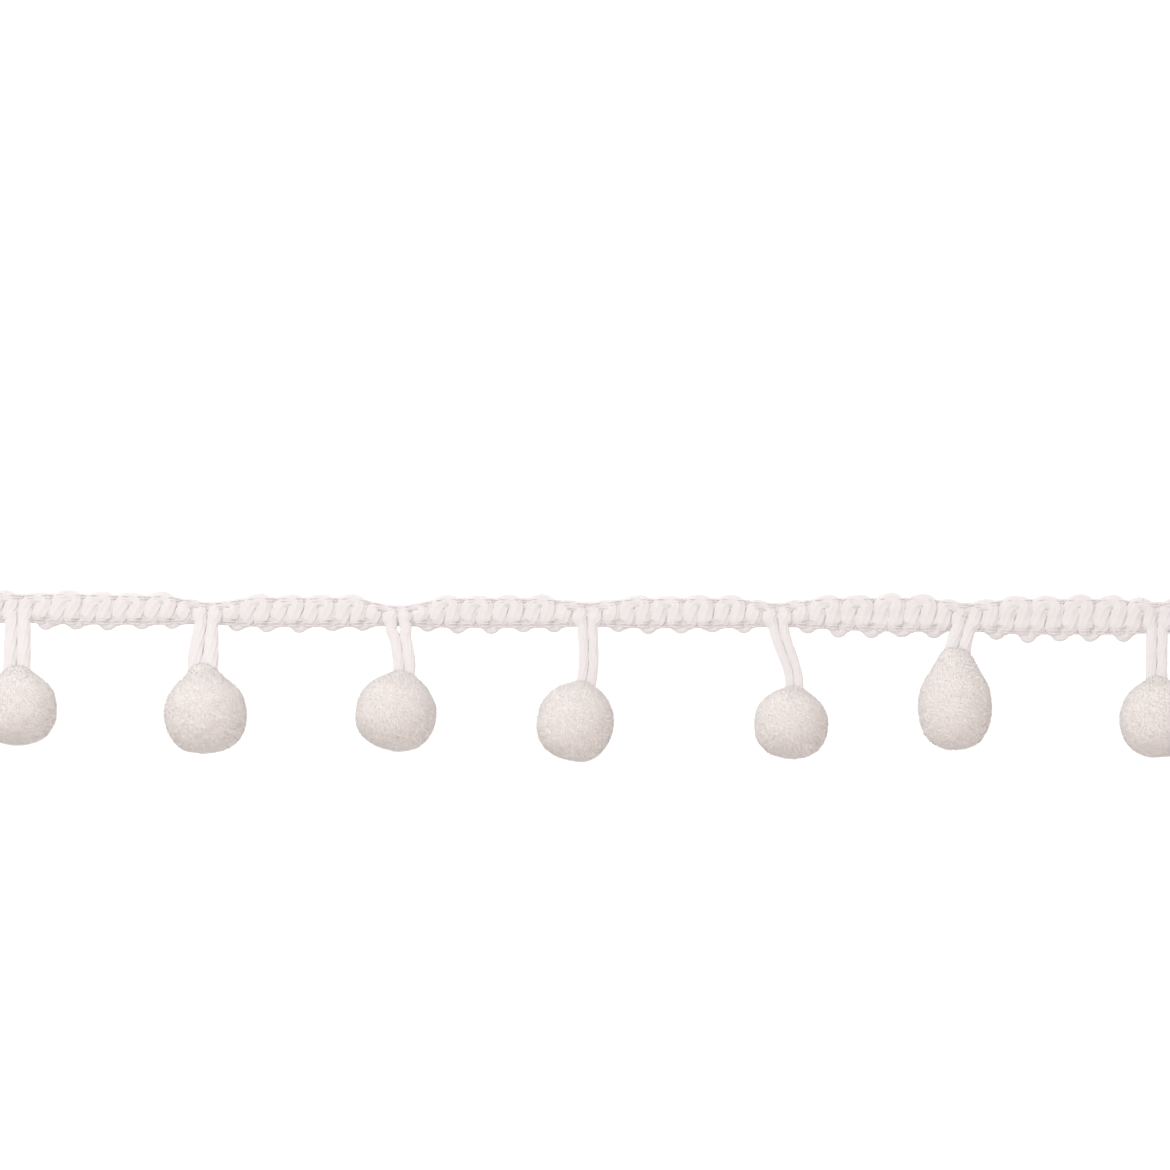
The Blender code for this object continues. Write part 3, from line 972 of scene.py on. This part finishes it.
def shape_rings(ball, row):
    """Square a unit sphere below and draw its top up into a collar, ring by ring."""
    heights = sorted({round(vertex.co.z, 5) for vertex in ball.data.vertices})
    for height in reversed(heights):
        around = math.sqrt(max(1.0 - height ** 2, 0.0))
        corner = math.cos(4.0 * math.acos(height)) if height < 0 else 1.0
        full = 1.0 - SQUARED * corner
        collar = 1.0 / (1.0 + (around / row.collar) ** COLLAR_STEEPNESS) if height > 0 else 0.0
        raised = height * full + (row.top - 1.0) * collar
        select_points(ball, lambda vertex: abs(vertex.co.z - height) < SAME_HEIGHT)
        bpy.ops.transform.resize(value=(full, full, 1), center_override=(0, 0, height))
        bpy.ops.transform.translate(value=(0, 0, raised - height + LIFTED))
        bpy.ops.object.mode_set(mode="OBJECT")
    bpy.ops.object.mode_set(mode="EDIT")
    bpy.ops.mesh.select_all(action="SELECT")
    bpy.ops.transform.translate(value=(0, 0, -LIFTED))


print("the tallest collar stands at", max(row.top for row in POMPOMS), "of a ball's half length")

# %% The ball under the pile
SPHERE_SEGMENTS, SPHERE_RINGS = 56, 32
BODY_SHARE = 0.955
PRESSED = 0.30 * MM


def ball_body(row, name):
    """A shaped sphere at its size, turned towards its loop, placed and pressed flat below."""
    centre, neck, sideways, upwards = pompom_frame(row)
    clear_selection()
    bpy.ops.mesh.primitive_uv_sphere_add(
        segments=SPHERE_SEGMENTS, ring_count=SPHERE_RINGS, radius=1.0
    )
    ball = bpy.context.object
    ball.name = name
    sort_faces(ball)
    shape_rings(ball, row)
    halves = (row.half_width, row.half_width, row.half_length)
    size = [BODY_SHARE * half * MM for half in halves]
    bpy.ops.transform.resize(value=size, center_override=(0, 0, 0))
    bpy.ops.object.mode_set(mode="OBJECT")
    turn = Matrix((sideways, upwards, neck)).transposed()
    ball.matrix_world = Matrix.Translation(centre) @ turn.to_4x4()
    bpy.ops.object.transform_apply(location=True, rotation=True, scale=True)
    select_points(ball, lambda vertex: vertex.co.z < PRESSED)
    bpy.ops.transform.resize(value=(1, 1, 0), center_override=(0, 0, PRESSED))
    bpy.ops.mesh.select_all(action="SELECT")
    bpy.ops.mesh.normals_make_consistent(inside=False)
    bpy.ops.object.mode_set(mode="OBJECT")
    bpy.ops.object.shade_smooth()
    return ball


print("a ball's body is", BODY_SHARE, "of its size; the pile fills the rest")

# %% [markdown]
# ## Pile
#
# A particle system could grow the pile as hair, but hair is no mesh. So one short fibre is
# modelled, and Geometry Nodes plant it thousands of times over a ball, each one leaning a little
# its own way and cut to its own length, and never through the table. All of it becomes one mesh
# with the ball. Thousands of crossing fibres would look like gravel in the light, so each takes
# most of its normal from the ball beneath it, and the ball shades as one soft velvet.

# %% One fibre
FIBRE_LENGTH = 0.34 * MM
FIBRE_RADIUS = 0.042 * MM

clear_selection()
bpy.ops.mesh.primitive_cone_add(vertices=3, radius1=FIBRE_RADIUS, radius2=0, depth=FIBRE_LENGTH)
fibre = bpy.context.object
fibre.name = "fibre"
bpy.ops.object.mode_set(mode="EDIT")
bpy.ops.mesh.select_all(action="SELECT")
bpy.ops.transform.translate(value=(0, 0, 0.5 * FIBRE_LENGTH))
bpy.ops.object.mode_set(mode="OBJECT")
fibre.data.materials.append(MATERIALS["pompom pile"])
print("one fibre has", len(fibre.data.polygons), "faces")

# %% Helpers for geometry nodes
def add_node(group, kind, **settings):
    """A new node of a group, with its settings."""
    made = group.nodes.new(kind)
    for key, value in settings.items():
        setattr(made, key, value)
    return made


def math_node(group, operation, first, second):
    """The output of a math node, whose inputs are numbers or other nodes' outputs."""
    made = add_node(group, "ShaderNodeMath", operation=operation)
    for socket, value in zip(made.inputs, (first, second)):
        if isinstance(value, (int, float)):
            socket.default_value = value
        else:
            group.links.new(value, socket)
    return made.outputs[0]


# %% Lean and length of a fibre
FIBRE_TILT = 0.42
SHORTEST, LONGEST = 0.45, 1.12
LEAST_WIDTH = 0.6
LEAST_FALL = 1e-7
TABLE_CLEARANCE = 0.02 * MM


def fibre_direction(group, normal):
    """Straight out of the ball, leaning a little to any side."""
    lean = add_node(group, "FunctionNodeRandomValue", data_type="FLOAT_VECTOR")
    lean.inputs[0].default_value = (-FIBRE_TILT,) * 3
    lean.inputs[1].default_value = (FIBRE_TILT,) * 3
    direction = add_node(group, "ShaderNodeVectorMath", operation="ADD")
    unit = add_node(group, "ShaderNodeVectorMath", operation="NORMALIZE")
    group.links.new(normal, direction.inputs[0])
    group.links.new(lean.outputs[0], direction.inputs[1])
    group.links.new(direction.outputs[0], unit.inputs[0])
    return unit.outputs[0]


def fibre_scale(group, direction):
    """Its own length, or less where it would reach through the table, and a width to match."""
    place = add_node(group, "GeometryNodeInputPosition")
    split_place = add_node(group, "ShaderNodeSeparateXYZ")
    split_direction = add_node(group, "ShaderNodeSeparateXYZ")
    group.links.new(place.outputs[0], split_place.inputs[0])
    group.links.new(direction, split_direction.inputs[0])
    room = math_node(group, "SUBTRACT", split_place.outputs["Z"], TABLE_CLEARANCE)
    down = math_node(group, "MULTIPLY", split_direction.outputs["Z"], -FIBRE_LENGTH)
    most = math_node(group, "DIVIDE", room, math_node(group, "MAXIMUM", down, LEAST_FALL))
    wish = add_node(group, "FunctionNodeRandomValue", data_type="FLOAT")
    wish.inputs[2].default_value = SHORTEST
    wish.inputs[3].default_value = LONGEST
    length = math_node(group, "MINIMUM", wish.outputs[1], most)
    width = math_node(group, "MAXIMUM", length, LEAST_WIDTH)
    scale = add_node(group, "ShaderNodeCombineXYZ")
    for value, socket in zip((width, width, length), scale.inputs):
        group.links.new(value, socket)
    return scale.outputs[0]


# %% The pile as a node group
BODY_LIGHTING = 0.75


def body_normals(group, ball, covered):
    """The covered ball, each fibre of which takes most of its normal from the ball below."""
    own = add_node(group, "GeometryNodeInputNormal")
    body = add_node(group, "GeometryNodeSampleNearestSurface", data_type="FLOAT_VECTOR")
    blend = add_node(group, "ShaderNodeMix", data_type="VECTOR")
    blend.inputs["Factor"].default_value = BODY_LIGHTING
    lit = add_node(group, "GeometryNodeSetMeshNormal", mode="FREE", domain="CORNER")
    for value, socket in (
        (ball, body.inputs["Mesh"]),
        (own.outputs[0], body.inputs["Value"]),
        (own.outputs[0], blend.inputs[4]),
        (body.outputs[0], blend.inputs[5]),
        (covered, lit.inputs["Mesh"]),
        (blend.outputs[1], lit.inputs["Custom Normal"]),
    ):
        group.links.new(value, socket)
    return lit.outputs[0]


def build_pile():
    """A geometry node group that plants the fibre on a ball and realises it."""
    group = bpy.data.node_groups.new("pile", "GeometryNodeTree")
    for label, kind in (("Geometry", "Geometry"), ("Seed", "Int"), ("Density", "Float")):
        group.interface.new_socket(label, in_out="INPUT", socket_type=f"NodeSocket{kind}")
    group.interface.new_socket("Geometry", in_out="OUTPUT", socket_type="NodeSocketGeometry")
    links = group.links
    start, end = add_node(group, "NodeGroupInput"), add_node(group, "NodeGroupOutput")
    ball = start.outputs["Geometry"]
    points = add_node(group, "GeometryNodeDistributePointsOnFaces")
    links.new(ball, points.inputs["Mesh"])
    links.new(start.outputs["Density"], points.inputs["Density"])
    links.new(start.outputs["Seed"], points.inputs["Seed"])
    direction = fibre_direction(group, points.outputs["Normal"])
    turn = add_node(group, "FunctionNodeAlignRotationToVector", axis="Z")
    links.new(direction, turn.inputs["Vector"])
    model = add_node(group, "GeometryNodeObjectInfo")
    model.inputs["Object"].default_value = fibre
    planted = add_node(group, "GeometryNodeInstanceOnPoints")
    links.new(points.outputs["Points"], planted.inputs["Points"])
    links.new(model.outputs["Geometry"], planted.inputs["Instance"])
    links.new(turn.outputs[0], planted.inputs["Rotation"])
    links.new(fibre_scale(group, direction), planted.inputs["Scale"])
    real = add_node(group, "GeometryNodeRealizeInstances")
    links.new(planted.outputs[0], real.inputs[0])
    joined = add_node(group, "GeometryNodeJoinGeometry")
    links.new(real.outputs[0], joined.inputs[0])
    links.new(ball, joined.inputs[0])
    links.new(body_normals(group, ball, joined.outputs[0]), end.inputs[0])
    return group


PILE = build_pile()
print("pile group:", len(PILE.nodes), "nodes")

# %% [markdown]
# ## The seven balls
#
# Cut yarn never trims to a smooth sphere: it stands in soft clumps. A Displace modifier with a
# cloud texture raises low lumps on the body before the pile is planted, so the pile follows them.
# Each ball has its own seed, so that no two have their fibres in the same places.

# %% Grow the pile
LUMP_HEIGHT = 0.36 * MM
FIBRES_PER_MM2 = 48
FIRST_SEED = 11

clumps = bpy.data.textures.new("clumps", "CLOUDS")
clumps.noise_scale = 2.4 * MM


def plant(ball, seed):
    """Raise lumps on a ball and cover it with pile."""
    lumps = ball.modifiers.new("lumps", "DISPLACE")
    lumps.texture = clumps
    lumps.texture_coords = "LOCAL"
    lumps.strength = LUMP_HEIGHT
    grow = ball.modifiers.new("pile", "NODES")
    grow.node_group = PILE
    grow[PILE.interface.items_tree["Seed"].identifier] = seed
    grow[PILE.interface.items_tree["Density"].identifier] = FIBRES_PER_MM2 / MM ** 2
    apply_all(ball)


for number, row in enumerate(POMPOMS):
    ball = ball_body(row, f"pompom_pile_{number + 1}")
    # The body under the pile gets the root finish, a little darker than the fibres: painted shade
    # for the depth of the pile.
    ball.data.materials.append(MATERIALS["pompom root painted shade"])
    plant(ball, FIRST_SEED + number)
    finish_piece(ball, "pompom_pile", f"pompom_{number + 1}")
bpy.data.objects.remove(fibre, do_unlink=True)
